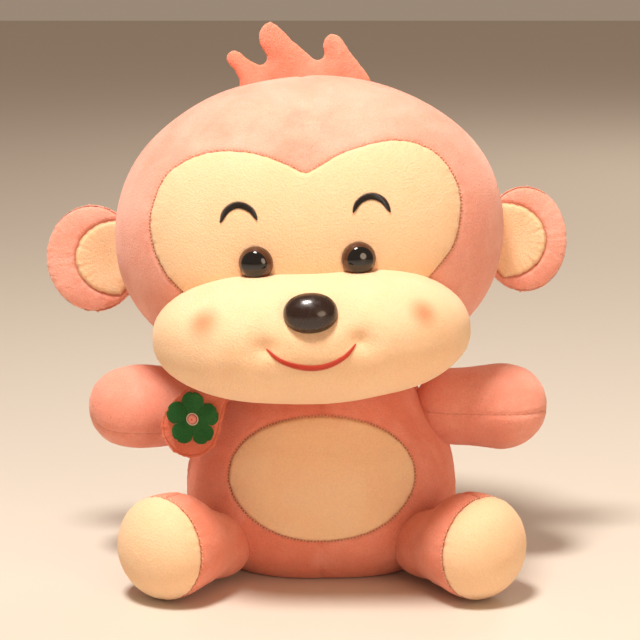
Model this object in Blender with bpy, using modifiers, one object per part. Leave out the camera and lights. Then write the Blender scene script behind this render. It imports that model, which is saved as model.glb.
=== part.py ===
"""Stuffed sitting monkey, 350 mm to the tip of its hair tuft.

Frame: origin on the flat seat under the body, +Z up, the face looks along -Y,
+X is the monkey's own left.  Lengths are metres.
"""
import math

import bpy
from mathutils import Euler, Matrix, Vector

# ---- driving dimensions -------------------------------------------------------
CLOTH = 0.0018          # thickness of the plush cloth
GAP = 0.0004            # clearance left between neighbouring pieces
SEAM = 0.0004           # width of a seam between two panels
TORSO = Vector((0.088, 0.068, 0.0655))      # semi-axes
TORSO_Z = TORSO.z - 0.013                   # its underside is cut flat by the floor
SIDE_SEAM_Y = -0.012
BELLY_X, BELLY_Z, BELLY_AT = 0.0575, 0.037, TORSO_Z + 0.015
NECK_AT = Vector((-0.002, -0.004, TORSO_Z + TORSO.z + 0.003))
NECK_R = 0.035
HEAD = Vector((0.124, 0.091, 0.097))        # semi-axes
HEAD_AT = Vector((-0.008, -0.006, NECK_AT.z + HEAD.z - 0.001))
HEAD_ROLL = math.radians(-2.6)
HEAD_FIBRE_ROOM = 0.0012 / 0.124 * HEAD.x   # the filling's flats lie this far inside
MUZZLE = Vector((0.096, 0.060, 0.0405))
MUZZLE_AT = Vector((0.0, 0.011 - HEAD.y, 0.046 - HEAD.z))   # in the head's frame
EYE_R = 0.0093
EYE_X, EYE_Z = 0.0306, -0.005
NOSE = Vector((0.0160, 0.0105, 0.0115))
NOSE_Z = -0.029
SHANK_R = 0.0022
WASHER_R, WASHER_T = 0.0075, 0.0016
EAR = Vector((0.030, 0.0095, 0.035))
EAR_AT = Vector((HEAD.x + 0.018, 0.018, -0.0145))
EAR_PATCH_X = HEAD.x + 0.002
EAR_ROOT_GAP = 0.0024
TUFT_W, TUFT_H, TUFT_T = 0.091, 0.0365, 0.015
TUFT_ROOT_GAP = 0.0022
ARM_R, HAND_R, ARM_REACH = 0.0245, 0.0280, 0.065
SHOULDER = Vector((TORSO.x - 0.004, -0.010, TORSO_Z + TORSO.z - 0.014))
LEG_R, FOOT_R, FOOT_S = 0.0260, 0.0340, 0.038
HIP = Vector((0.0700, -0.060, 0.0330))
LEG_SPLAY = math.radians(38)
SOLE_S = 0.007          # sole seam, ahead of the foot's centre
TAB_W, TAB_L, TAB_T = 0.037, 0.043, 0.0050
TAB_AT = Vector((-0.0700, -0.0580, NECK_AT.z + 0.0015))
TAB_LEAN = math.radians(28)
FLOWER_R, FLOWER_T = 0.0155, 0.0016
FLOWER_BUTTON_R = 0.0042

FAR = 0.4               # longer than the whole toy; for cutting blocks

# ---- clean scene --------------------------------------------------------------
for old in list(bpy.data.objects):
    bpy.data.objects.remove(old, do_unlink=True)

PARTS = bpy.data.collections.new("stuffed_monkey")
CUTTERS = bpy.data.collections.new("cutters")
for group in (PARTS, CUTTERS):
    bpy.context.scene.collection.children.link(group)


def material(name, colour, roughness):
    mat = bpy.data.materials.new(name)
    mat.use_nodes = True
    shader = mat.node_tree.nodes["Principled BSDF"]
    shader.inputs["Base Color"].default_value = (*colour, 1.0)
    shader.inputs["Roughness"].default_value = roughness
    shader.inputs["Metallic"].default_value = 0.0
    return mat


PINK = ("pink_plush", (0.83, 0.40, 0.29), 0.95)
CREAM = ("cream_plush", (0.95, 0.74, 0.47), 0.95)
WHITE = ("white_fibre", (0.90, 0.89, 0.85), 0.98)


def frame(name, location, rotation=(0, 0, 0), parent=None):
    """An empty that carries pieces; moving groups have it on their joint."""
    empty = bpy.data.objects.new(name, None)
    empty.location = location
    empty.rotation_euler = Euler(rotation)
    empty.parent = parent
    PARTS.objects.link(empty)
    return empty


def take(name, look=None, parent=None, location=(0, 0, 0), rotation=(0, 0, 0)):
    """Name the mesh just made; a piece if it has a look, else a cutter."""
    made = bpy.context.object
    made.name = made.data.name = name
    for group in list(made.users_collection):
        group.objects.unlink(made)
    made.parent = parent
    made.location = location
    made.rotation_euler = Euler(rotation)
    if look:
        PARTS.objects.link(made)
        made.data.materials.append(material(f"{name}_{look[0]}", *look[1:]))
        for face in made.data.polygons:
            face.use_smooth = True
    else:
        CUTTERS.objects.link(made)
        made.hide_render = True
        made.display_type = "WIRE"
    return made


def bake(made, matrix):
    made.data.transform(matrix)
    return made


def ellipsoid(name, semi, look=None, parent=None, at=(0, 0, 0), turn=(0, 0, 0),
              segments=24, rings=12, square=1.0, floor=None):
    """A UV sphere with its poles up, given semi-axes; square < 1 boxes it out."""
    bpy.ops.mesh.primitive_uv_sphere_add(segments=segments, ring_count=rings, radius=1.0)
    made = take(name, look, parent, at, turn)
    for vertex in made.data.vertices:
        u = vertex.co
        if square != 1.0:
            u = Vector([math.copysign(abs(c) ** square, c) for c in u])
            size = (abs(u.x) ** (2 / square) + abs(u.y) ** (2 / square)
                    + abs(u.z) ** (2 / square)) ** (square / 2)
            u = u / max(size, 1e-9)
        vertex.co = Vector((u.x * semi[0], u.y * semi[1], u.z * semi[2]))
        if floor is not None:
            vertex.co.z = max(vertex.co.z, floor)
    return made


def block(name, low, high, parent=None):
    bpy.ops.mesh.primitive_cube_add(size=1.0)
    made = take(name, None, parent)
    low, high = Vector(low), Vector(high)
    return bake(made, Matrix.Translation((low + high) / 2)
                @ Matrix.Diagonal((*(high - low), 1.0)))


def tube(name, radius, depth, look=None, parent=None, at=(0, 0, 0), turn=(0, 0, 0), sides=16):
    bpy.ops.mesh.primitive_cylinder_add(vertices=sides, radius=radius, depth=depth)
    return take(name, look, parent, at, turn)


def prism(name, outline, depth, look=None, parent=None, at=(0, 0, 0), turn=(0, 0, 0)):
    """A flat outline in X and Z, filled and thickened evenly along Y."""
    line = bpy.data.curves.new(name, "CURVE")
    line.dimensions, line.fill_mode, line.extrude = "2D", "BOTH", depth / 2
    spline = line.splines.new("POLY")
    spline.points.add(len(outline) - 1)
    for point, (x, z) in zip(spline.points, outline):
        point.co = (x, z, 0.0, 1.0)
    spline.use_cyclic_u = True
    drawn = bpy.data.objects.new(name, line)
    bpy.context.scene.collection.objects.link(drawn)
    bpy.ops.object.select_all(action="DESELECT")
    drawn.select_set(True)
    bpy.context.view_layer.objects.active = drawn
    bpy.ops.object.convert(target="MESH")
    weld(bpy.context.object)
    made = take(name, look, parent, at, turn)
    return bake(made, Matrix.Rotation(math.pi / 2, 4, "X"))


def weld(made):
    bpy.ops.object.mode_set(mode="EDIT")
    bpy.ops.mesh.select_all(action="SELECT")
    bpy.ops.mesh.remove_doubles(threshold=0.00001)
    bpy.ops.mesh.normals_make_consistent(inside=False)
    bpy.ops.object.mode_set(mode="OBJECT")
    return made


def lathe(name, profile, look=None, parent=None, at=(0, 0, 0), turn=(0, 0, 0), sides=12):
    """Spin (along, radius) about local X; the profile starts and ends on it."""
    mesh = bpy.data.meshes.new(name)
    mesh.from_pydata([(s, r, 0.0) for s, r in profile],
                     [(i, i + 1) for i in range(len(profile) - 1)], [])
    spun = bpy.data.objects.new(name, mesh)
    bpy.context.scene.collection.objects.link(spun)
    bpy.ops.object.select_all(action="DESELECT")
    spun.select_set(True)
    bpy.context.view_layer.objects.active = spun
    screw = spun.modifiers.new("spin", "SCREW")
    screw.axis = "X"
    screw.steps = screw.render_steps = sides
    screw.use_merge_vertices, screw.merge_threshold = True, 0.00001
    bpy.ops.object.modifier_apply(modifier=screw.name)
    weld(spun)
    return take(name, look, parent, at, turn)


def skin(made, thickness=CLOTH):
    """Give a closed form the thickness of its cloth, inwards."""
    shell = made.modifiers.new("cloth", "SOLIDIFY")
    shell.thickness, shell.offset = thickness, -1.0
    return made


def cut(made, tool, operation="DIFFERENCE"):
    edge = made.modifiers.new(f"{operation[:3].lower()}_{tool.name}"[:50], "BOOLEAN")
    edge.operation, edge.solver, edge.object = operation, "EXACT", tool
    return made


def keep(made, tool):
    return cut(made, tool, "INTERSECT")


def smooth_loop(points, per=4):
    """A rounded closed outline through the points."""
    out = []
    count = len(points)
    for i in range(count):
        p0, p1, p2, p3 = (Vector(points[(i + k) % count]) for k in (-1, 0, 1, 2))
        for k in range(per):
            t = k / per
            out.append(tuple(0.5 * (2 * p1 + (p2 - p0) * t
                                    + (2 * p0 - 5 * p1 + 4 * p2 - p3) * t * t
                                    + (3 * p1 - p0 - 3 * p2 + p3) * t ** 3)))
    return out


def offset(outline, amount):
    """Move a closed outline outwards (counter-clockwise points) by amount."""
    out = []
    for i, p in enumerate(outline):
        before, after = Vector(outline[i - 1]), Vector(outline[(i + 1) % len(outline)])
        along = (after - before).normalized()
        out.append((p[0] + along.y * amount, p[1] - along.x * amount))
    return out


def head_y(x, z, grow=0.0):
    """Y of the head's front surface at (x, z), in the head's own frame."""
    a, b, c = (HEAD[i] + grow for i in range(3))
    return -b * math.sqrt(max(0.0, 1 - (x / a) ** 2 - (z / c) ** 2))


def muzzle_y(x, z, grow=0.0):
    """Y of the muzzle's front surface, in the head's own frame."""
    a, b, c = (MUZZLE[i] + grow for i in range(3))
    p = 2 / MUZZLE_SQUARE
    left = 1 - abs(x / a) ** p - abs((z - MUZZLE_AT.z) / c) ** p
    return MUZZLE_AT.y - b * max(0.0, left) ** (1 / p)


def shrink(semi, amount):
    return [s - amount for s in semi]


INNER = CLOTH + GAP + 0.0006     # how far stuffing lies under the outer surface
MUZZLE_SQUARE = 0.86

# ---- moving frames ------------------------------------------------------------
neck = frame("neck_frame", NECK_AT)
head = frame("head_frame", HEAD_AT - NECK_AT, (0, HEAD_ROLL, 0), neck)
NECK_IN_HEAD = Matrix.Rotation(-HEAD_ROLL, 3, "Y") @ (NECK_AT - HEAD_AT)

# ---- neck: the stuffed ball between body and head ------------------------------
ellipsoid("neck_stuffing", (NECK_R,) * 3, PINK, neck, segments=16, rings=8)
neck_room_head = ellipsoid("neck_room_head", (NECK_R + GAP * 3,) * 3, None, head,
                           NECK_IN_HEAD, segments=16, rings=8)
neck_room_body = ellipsoid("neck_room_body", (NECK_R + GAP * 3,) * 3, None, None,
                           NECK_AT, segments=16, rings=8)

# ---- head ---------------------------------------------------------------------
FACE_HALF = [(0.0, 0.044), (0.022, 0.055), (0.050, 0.061), (0.077, 0.053), (0.092, 0.038),
             (0.0965, 0.016), (0.092, -0.010), (0.078, -0.030), (0.050, -0.045),
             (0.0, -0.052)]
FACE = smooth_loop([(x, z) for x, z in FACE_HALF[::-1]]
                   + [(-x, z) for x, z in FACE_HALF[1:-1]], per=3)
face_tool = prism("face_outline", FACE, 0.2, None, head, (0, -0.1, 0))
face_hole = prism("face_opening", offset(FACE, SEAM), 0.2, None, head, (0, -0.1, 0))
eye_tools = [tube(f"eye_shank_hole_{side}", SHANK_R + GAP, 0.04, None, head,
                  (sign * EYE_X, head_y(EYE_X, EYE_Z), EYE_Z), (math.pi / 2, 0, 0), 12)
             for side, sign in (("left", 1), ("right", -1))]
washer_tools = [tube(f"eye_washer_room_{side}", WASHER_R + GAP * 3, 0.012, None, head,
                     (sign * EYE_X, head_y(EYE_X, EYE_Z) + 0.0065, EYE_Z),
                     (math.pi / 2, 0, 0), 12)
                for side, sign in (("left", 1), ("right", -1))]
HALF = SEAM / 2
for side, sign in (("left", 1), ("right", -1)):
    for part, low, high in (("front", -FAR, -HALF), ("back", HALF, FAR)):
        corner = block(f"head_{part}_{side}_block",
                       (min(sign * HALF, sign * FAR), low, -FAR),
                       (max(sign * HALF, sign * FAR), high, FAR), head)
        panel = ellipsoid(f"head_{part}_{side}", HEAD, PINK, head, segments=22, rings=12)
        keep(skin(panel), corner)
        cut(panel, neck_room_head)
        if part == "front":
            cut(panel, face_hole)

face = keep(skin(ellipsoid("face_patch", HEAD, CREAM, head, segments=22, rings=12)), face_tool)
stuffing = ellipsoid("head_stuffing", shrink(HEAD, INNER + HEAD_FIBRE_ROOM), WHITE, head, segments=16, rings=8)
cut(stuffing, neck_room_head)
for tool in eye_tools:
    cut(face, tool)
for tool in washer_tools:
    cut(stuffing, tool)

# ---- eyes: domed buttons on a shank, locked by a washer -------------------------
for side, sign in (("left", 1), ("right", -1)):
    x, y = sign * EYE_X, head_y(EYE_X, EYE_Z)
    dome = ellipsoid(f"eye_{side}", (EYE_R, 0.0062, EYE_R), ("black_plastic", (0.02, 0.011, 0.008), 0.12),
                     head, (x, y - 0.0012, EYE_Z), segments=16, rings=8)
    back = block(f"eye_back_{side}", (x - 0.02, y - 0.0009 - GAP, EYE_Z - 0.02),
                 (x + 0.02, y + 0.03, EYE_Z + 0.02), head)
    cut(dome, back)
    post = tube(f"eye_post_{side}", SHANK_R, 0.0100, None, head,
                (x, y + 0.0018, EYE_Z), (math.pi / 2, 0, 0), 12)
    cut(dome, post, "UNION")
    ring = tube(f"eye_washer_{side}", WASHER_R, WASHER_T, ("clear_plastic", (0.8, 0.8, 0.78), 0.4),
                head, (x, y + CLOTH + 0.0040, EYE_Z), (math.pi / 2, 0, 0), 12)
    cut(ring, eye_tools[0 if sign > 0 else 1])

# ---- muzzle: a pillow of its own, sewn over the lower face ------------------------
head_room = ellipsoid("muzzle_back_room", [s + GAP for s in HEAD], None, head,
                      segments=22, rings=12)
eye_room = [ellipsoid(f"eye_tuck_room_{side}", (EYE_R + GAP, 0.0076, EYE_R + GAP), None, head,
                      (sign * EYE_X, head_y(EYE_X, EYE_Z) - 0.0012, EYE_Z), segments=16, rings=8)
            for side, sign in (("left", 1), ("right", -1))]
cover = skin(ellipsoid("muzzle_cover", MUZZLE, CREAM, head, MUZZLE_AT, (0, 0, 0), 18, 10,
                       MUZZLE_SQUARE))
filling = ellipsoid("muzzle_stuffing", shrink(MUZZLE, INNER + 0.0016), WHITE, head, MUZZLE_AT,
                    (0, 0, 0), 14, 8, MUZZLE_SQUARE)
nose_y = muzzle_y(0, NOSE_Z)
nose_tilt = math.atan2(muzzle_y(0, NOSE_Z + 0.001) - muzzle_y(0, NOSE_Z - 0.001), 0.002)
nose_frame = frame("nose_frame", (0, nose_y, NOSE_Z), (-0.75 * nose_tilt, 0, 0), head)
nose_hole = tube("nose_shank_hole", SHANK_R + GAP, 0.03, None, nose_frame,
                 (0, 0, 0), (math.pi / 2, 0, 0), 12)
nose_room = tube("nose_washer_room", WASHER_R + GAP * 3, 0.030, None, nose_frame,
                 (0, 0.006, 0), (math.pi / 2, 0, 0), 12)
for made in (cover, filling):
    cut(made, head_room)
cut(cover, nose_hole)
cut(filling, nose_room)
for made in (cover, filling):
    for tool in eye_room:
        cut(made, tool)

nose = ellipsoid("nose", NOSE, ("brown_plastic", (0.035, 0.014, 0.008), 0.15), nose_frame,
                 (0, -0.0030, 0), segments=16, rings=8)
muzzle_front = ellipsoid("nose_back_form", [s + GAP for s in MUZZLE], None, head, MUZZLE_AT,
                         (0, 0, 0), 18, 10, MUZZLE_SQUARE)
cut(nose, muzzle_front)
post = tube("nose_post", SHANK_R, 0.0150, None, nose_frame, (0, 0.0015, 0),
            (math.pi / 2, 0, 0), 12)
cut(nose, post, "UNION")
ring = tube("nose_washer", WASHER_R, WASHER_T, ("clear_plastic", (0.8, 0.8, 0.78), 0.4),
            nose_frame, (0, CLOTH + 0.0055, 0), (math.pi / 2, 0, 0), 12)
cut(ring, nose_hole)

# ---- embroidery: brows and smile ---------------------------------------------------


def stitched_arc(name, centre_x, centre_z, half, rise, thick, look, surface):
    """A tapering raised arc that follows the surface under it."""
    mesh = bpy.data.meshes.new(name)
    steps, sides = 10, 5
    rows = []
    for i in range(steps + 1):
        t = 2 * i / steps - 1
        x = centre_x + half * t
        z = centre_z + rise * (1 - t * t)
        radius = thick * (0.30 + 0.70 * math.sqrt(max(0.0, 1 - t * t)))
        deep = surface(x, z) - GAP - 0.0008
        rows.append([(x, deep + 0.0006 * math.cos(a), z + radius * math.sin(a))
                     for a in (2 * math.pi * k / sides for k in range(sides))])
    mesh.from_pydata([p for row in rows for p in row], [],
                     [(i * sides + k, i * sides + (k + 1) % sides,
                       (i + 1) * sides + (k + 1) % sides, (i + 1) * sides + k)
                      for i in range(steps) for k in range(sides)]
                     + [tuple(range(sides))[::-1],
                        tuple(steps * sides + k for k in range(sides))])
    thread = bpy.data.objects.new(name, mesh)
    bpy.context.scene.collection.objects.link(thread)
    bpy.ops.object.select_all(action="DESELECT")
    thread.select_set(True)
    bpy.context.view_layer.objects.active = thread
    weld(thread)
    return take(name, look, head)


THREAD = ("black_thread", (0.02, 0.014, 0.011), 0.6)
for side, sign in (("left", 1), ("right", -1)):
    stitched_arc(f"brow_{side}", sign * 0.0405, 0.0215, 0.0110, 0.0105, 0.0016, THREAD,
                 lambda x, z: head_y(x, z, 0.0004))
stitched_arc("mouth_stitches", 0.0, -0.0500, 0.0270, -0.0125, 0.0020,
             ("red_thread", (0.55, 0.04, 0.02), 0.6),
             lambda x, z: muzzle_y(x, z, 0.0004))

# ---- ears ------------------------------------------------------------------------
ear_root = ellipsoid("ear_root_room", [s + EAR_ROOT_GAP for s in HEAD], None, head,
                     segments=22, rings=12)
for side, sign in (("left", 1), ("right", -1)):
    at = Vector((sign * EAR_AT.x, EAR_AT.y, EAR_AT.z))
    hinge = frame(f"ear_{side}_frame", (sign * HEAD.x, EAR_AT.y, EAR_AT.z), (0, 0, 0), head)
    local = at - hinge.location
    inner = tube(f"ear_patch_outline_{side}", 1.0, 0.05, None, hinge,
                 (sign * (EAR_PATCH_X - HEAD.x), -0.025, 0), (math.pi / 2, 0, 0), 20)
    bake(inner, Matrix.Diagonal((0.027, 0.0245, 1.0, 1.0)))
    opening = tube(f"ear_patch_opening_{side}", 1.0, 0.05, None, hinge,
                   (sign * (EAR_PATCH_X - HEAD.x), -0.025, 0), (math.pi / 2, 0, 0), 20)
    bake(opening, Matrix.Diagonal((0.027 + SEAM, 0.0245 + SEAM, 1.0, 1.0)))
    outer = skin(ellipsoid(f"ear_cover_{side}", EAR, PINK, hinge, local, segments=14, rings=8),
                 0.0015)
    cut(cut(outer, opening), ear_root)
    patch = skin(ellipsoid(f"ear_inner_{side}", EAR, CREAM, hinge, local, segments=14, rings=8),
                 0.0015)
    cut(keep(patch, inner), ear_root)
    wad = ellipsoid(f"ear_padding_{side}", shrink(EAR, 0.0028), WHITE, hinge, local,
                    segments=12, rings=6)
    cut(wad, ear_root)

# ---- hair tuft --------------------------------------------------------------------
H = TUFT_H
TUFT = smooth_loop([(-0.5 * TUFT_W, -0.30 * H), (0.0, -0.24 * H), (0.5 * TUFT_W, -0.30 * H),
                    (0.490 * TUFT_W, 0.10 * H), (0.35 * TUFT_W, 0.62 * H),
                    (0.24 * TUFT_W, 0.78 * H), (0.19 * TUFT_W, 0.56 * H),
                    (0.10 * TUFT_W, 0.38 * H), (-0.06 * TUFT_W, 0.80 * H),
                    (-0.20 * TUFT_W, 1.00 * H), (-0.29 * TUFT_W, 0.82 * H),
                    (-0.27 * TUFT_W, 0.34 * H), (-0.40 * TUFT_W, 0.47 * H),
                    (-0.50 * TUFT_W, 0.44 * H), (-0.49 * TUFT_W, 0.18 * H)], per=2)
tuft_frame = frame("tuft_frame", (0, 0, HEAD.z), (0, 0, 0), head)
tuft_root = ellipsoid("tuft_root_room", [s + TUFT_ROOT_GAP for s in HEAD], None, head,
                      segments=22, rings=12)
tuft_hollow = prism("tuft_hollow", offset(TUFT, -0.0015), TUFT_T - 0.0030, None, tuft_frame)
for part, low, high in (("front", -FAR, -HALF), ("back", HALF, FAR)):
    half_block = block(f"tuft_{part}_block", (-FAR, low, -FAR), (FAR, high, FAR), tuft_frame)
    tuft = prism(f"tuft_{part}", TUFT, TUFT_T, PINK, tuft_frame)
    edge = tuft.modifiers.new("rounded", "BEVEL")
    edge.width, edge.segments, edge.limit_method, edge.angle_limit = 0.0030, 1, "ANGLE", 1.2
    cut(cut(keep(tuft, half_block), tuft_hollow), tuft_root)
wad = prism("tuft_stuffing", offset(TUFT, -0.0024), TUFT_T - 0.0048, WHITE, tuft_frame)
cut(wad, tuft_root)

# ---- body -------------------------------------------------------------------------
belly = tube("belly_outline", 1.0, 0.2, None, None, (0, -0.1, BELLY_AT), (math.pi / 2, 0, 0), 32)
bake(belly, Matrix.Diagonal((BELLY_X, BELLY_Z, 1.0, 1.0)))
belly_hole = tube("belly_opening", 1.0, 0.2, None, None, (0, -0.1, BELLY_AT),
                  (math.pi / 2, 0, 0), 32)
bake(belly_hole, Matrix.Diagonal((BELLY_X + SEAM, BELLY_Z + SEAM, 1.0, 1.0)))
arm_rooms, leg_rooms = [], []
for side, sign in (("left", 1), ("right", -1)):
    arm_rooms.append(ellipsoid(f"shoulder_room_{side}", (ARM_R + GAP * 3,) * 3, None, None,
                               (sign * SHOULDER.x, SHOULDER.y, SHOULDER.z),
                               segments=16, rings=8))
    leg_rooms.append(ellipsoid(f"hip_room_{side}", (LEG_R + GAP * 3,) * 3, None, None,
                               (sign * HIP.x, HIP.y, HIP.z), segments=16, rings=8))


def body_form(name, semi, look, floor, segments=22, rings=12):
    made = ellipsoid(name, semi, look, None, (0, 0, TORSO_Z), (0, 0, 0), segments, rings,
                     0.94, floor)
    return made


def seat_to_neck(made):
    for tool in (neck_room_body, *arm_rooms, *leg_rooms):
        cut(made, tool)
    return made


blocks = {
    "torso_front_left": ((HALF, -FAR, -FAR), (FAR, SIDE_SEAM_Y - HALF, FAR)),
    "torso_front_right": ((-FAR, -FAR, -FAR), (-HALF, SIDE_SEAM_Y - HALF, FAR)),
    "torso_back": ((-FAR, SIDE_SEAM_Y + HALF, -FAR), (FAR, FAR, FAR)),
}
for name, (low, high) in blocks.items():
    panel = skin(body_form(name, TORSO, PINK, -TORSO_Z))
    keep(panel, block(f"{name}_block", low, high))
    if "front" in name:
        cut(panel, belly_hole)
    seat_to_neck(panel)
patch = keep(skin(body_form("belly_patch", TORSO, CREAM, -TORSO_Z)), belly)
seat_to_neck(patch)
seat_to_neck(body_form("torso_stuffing", shrink(TORSO, INNER + 0.0016), WHITE, -TORSO_Z + INNER, 16, 8))

# ---- arms -------------------------------------------------------------------------


def arm_profile(less=0.0):
    root, hand = ARM_R - less, HAND_R - less
    ball = [(root * -math.cos(a), root * math.sin(a))
            for a in (math.pi / 2 * k / 3 for k in range(3))]
    mid = ARM_REACH - HAND_R * 0.98
    tip = [(mid + hand * math.sin(a), hand * math.cos(a))
           for a in (math.pi / 2 * k / 3 for k in range(3))]
    return ball + [(0.0, root), (mid * 0.5, root + 0.55 * (hand - root))] + tip \
        + [(mid + hand, 0.0)]


for side, sign in (("left", 1), ("right", -1)):
    joint = frame(f"arm_{side}_frame", (sign * SHOULDER.x, SHOULDER.y, SHOULDER.z),
                  (0, 0, 0 if sign > 0 else math.pi))
    for part, low, high in (("upper", HALF, FAR), ("lower", -FAR, -HALF)):
        half_block = block(f"arm_{part}_{side}_block", (-FAR, -FAR, low), (FAR, FAR, high), joint)
        keep(skin(lathe(f"arm_{part}_{side}", arm_profile(), PINK, joint)), half_block)
    lathe(f"arm_stuffing_{side}", arm_profile(INNER), WHITE, joint)

# ---- legs -------------------------------------------------------------------------


def leg_profile(less=0.0):
    root, foot = LEG_R - less, FOOT_R - less
    ball = [(root * -math.cos(a), root * math.sin(a))
            for a in (math.pi / 2 * k / 3 for k in range(3))]
    start = -math.radians(38)
    bulb = [(FOOT_S + foot * math.sin(a), foot * math.cos(a))
            for a in (start + (math.pi / 2 - start) * k / 5 for k in range(5))]
    return ball + [(0.0, root)] + bulb + [(FOOT_S + foot, 0.0)]


for side, sign in (("left", 1), ("right", -1)):
    heading = -math.pi / 2 + sign * LEG_SPLAY
    joint = frame(f"leg_{side}_frame", (sign * HIP.x, HIP.y, HIP.z), (0, 0, heading))
    seam = FOOT_S + SOLE_S
    pieces = {
        f"leg_outer_{side}": ((-FAR, HALF, -FAR), (seam - HALF, FAR, FAR)),
        f"leg_inner_{side}": ((-FAR, -FAR, -FAR), (seam - HALF, -HALF, FAR)),
        f"sole_{side}": ((seam + HALF, -FAR, -FAR), (FAR, FAR, FAR)),
    }
    for name, (low, high) in pieces.items():
        look = CREAM if "sole" in name else PINK
        piece = lathe(name, leg_profile(), look, joint, sides=14)
        for vertex in piece.data.vertices:
            vertex.co.z = max(vertex.co.z, -HIP.z)
        keep(skin(piece), block(f"{name}_block", low, high, joint))
    wad = lathe(f"leg_stuffing_{side}", leg_profile(INNER), WHITE, joint, sides=14)
    for vertex in wad.data.vertices:
        vertex.co.z = max(vertex.co.z, -HIP.z + INNER)

# ---- flower tab, sewn in at the neck on the right side ------------------------------
tab = frame("tab_frame", TAB_AT, (math.radians(-4), TAB_LEAN, math.radians(-14)))
R = TAB_W / 2
TAB = [(-0.62 * R, 0.0), (-0.85 * R, -0.35 * TAB_L)] \
    + [(R * math.cos(a), -(TAB_L - R) + R * math.sin(a))
       for a in (math.pi + math.pi * k / 12 for k in range(13))] \
    + [(0.85 * R, -0.35 * TAB_L), (0.62 * R, 0.0)]
for part, low, high in (("front", -FAR, -HALF), ("back", HALF, FAR)):
    flap = prism(f"tab_{part}", TAB, TAB_T, PINK, tab)
    edge = flap.modifiers.new("rounded", "BEVEL")
    edge.width, edge.segments, edge.limit_method, edge.angle_limit = 0.0014, 1, "ANGLE", 1.2
    keep(flap, block(f"tab_{part}_block", (-FAR, low, -FAR), (FAR, high, FAR), tab))
PETALS = [(FLOWER_R * (0.60 + 0.40 * abs(math.cos(2.5 * a)) ** 0.6) * math.sin(a),
           FLOWER_R * (0.60 + 0.40 * abs(math.cos(2.5 * a)) ** 0.6) * math.cos(a))
          for a in (-2 * math.pi * k / 40 for k in range(40))]
flower_at = Vector((0.0, -TAB_T / 2 - GAP - FLOWER_T / 2, -(TAB_L - R) + 0.003))
prism("flower_petals", PETALS, FLOWER_T, ("green_felt", (0.018, 0.11, 0.025), 0.95), tab,
      flower_at)
button = ellipsoid("flower_centre", (FLOWER_BUTTON_R, 0.0013, FLOWER_BUTTON_R),
                   ("red_thread", (0.55, 0.09, 0.06), 0.7), tab,
                   flower_at - Vector((0, FLOWER_T / 2 + GAP + 0.0013, 0)), segments=14, rings=8)
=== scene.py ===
"""Stuffed sitting monkey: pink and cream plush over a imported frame, in metres."""
import math

import bpy
import numpy as np
from mathutils import Euler, Matrix, Vector
from mathutils.bvhtree import BVHTree


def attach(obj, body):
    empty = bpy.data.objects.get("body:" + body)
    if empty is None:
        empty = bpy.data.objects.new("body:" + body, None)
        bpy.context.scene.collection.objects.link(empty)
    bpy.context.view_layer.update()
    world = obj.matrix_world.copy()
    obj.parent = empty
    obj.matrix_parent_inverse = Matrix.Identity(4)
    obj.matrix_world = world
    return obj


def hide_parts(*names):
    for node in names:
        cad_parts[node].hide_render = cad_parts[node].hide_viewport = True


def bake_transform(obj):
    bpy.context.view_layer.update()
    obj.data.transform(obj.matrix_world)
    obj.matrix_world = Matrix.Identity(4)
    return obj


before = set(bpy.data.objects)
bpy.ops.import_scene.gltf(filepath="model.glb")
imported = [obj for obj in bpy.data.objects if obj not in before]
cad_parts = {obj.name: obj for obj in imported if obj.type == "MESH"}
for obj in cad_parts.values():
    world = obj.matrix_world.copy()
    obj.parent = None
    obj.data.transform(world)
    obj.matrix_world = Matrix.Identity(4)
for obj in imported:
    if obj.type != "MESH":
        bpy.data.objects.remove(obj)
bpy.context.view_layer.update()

bpy.ops.object.select_all(action="DESELECT")

# ---------------------------------------------------------------------------
# Studio: a plain pale floor, one soft light high in front and a little to the
# left, a weak warm fill, a weak light behind and an even sky.  The camera looks
# slightly down at the face.
# ---------------------------------------------------------------------------
VIEW_TARGET = Vector((0.0, 0.0, 0.162))
VIEW_DISTANCE = 1.2
VIEW_DOWN = math.radians(10)
METRES_ACROSS = 0.416

lens = bpy.data.cameras.new("camera")
camera = bpy.data.objects.new("camera", lens)
bpy.context.scene.collection.objects.link(camera)
camera.location = VIEW_TARGET + VIEW_DISTANCE * Vector(
    (0, -math.cos(VIEW_DOWN), math.sin(VIEW_DOWN)))
camera.rotation_euler = (math.pi / 2 - VIEW_DOWN, 0, 0)
lens.lens = lens.sensor_width * VIEW_DISTANCE / METRES_ACROSS
lens.shift_x, lens.shift_y = -0.003, -0.011
bpy.context.scene.camera = camera
bpy.context.scene.view_settings.view_transform = "Standard"


def soft_light(name, kind, place, size, power, colour):
    """A lamp that looks at the toy's middle and stays out of the picture."""
    lamp = bpy.data.lights.new(name, kind)
    lamp.energy, lamp.color = power, colour
    if kind == "AREA":
        lamp.shape, lamp.size = "DISK", size
    else:
        lamp.shadow_soft_size = size / 2
    holder = bpy.data.objects.new(name, lamp)
    bpy.context.scene.collection.objects.link(holder)
    holder.location = place
    holder.rotation_euler = (Vector((0, 0, 0.18)) - Vector(place)).to_track_quat("-Z", "Y").to_euler()
    holder.visible_camera = False


soft_light("key", "AREA", (-0.30, -0.58, 1.80), 0.42, 42, (1.0, 0.93, 0.85))
soft_light("fill", "POINT", (1.6, -2.6, 0.9), 1.6, 100, (1.0, 0.76, 0.55))
soft_light("back", "POINT", (1.2, 2.4, 1.8), 1.4, 75, (1.0, 0.90, 0.80))

sky = bpy.data.worlds.new("sky")
bpy.context.scene.world = sky
sky.use_nodes = True
sky.node_tree.nodes["Background"].inputs["Color"].default_value = (1.0, 0.76, 0.56, 1)
sky.node_tree.nodes["Background"].inputs["Strength"].default_value = 0.33

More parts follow.
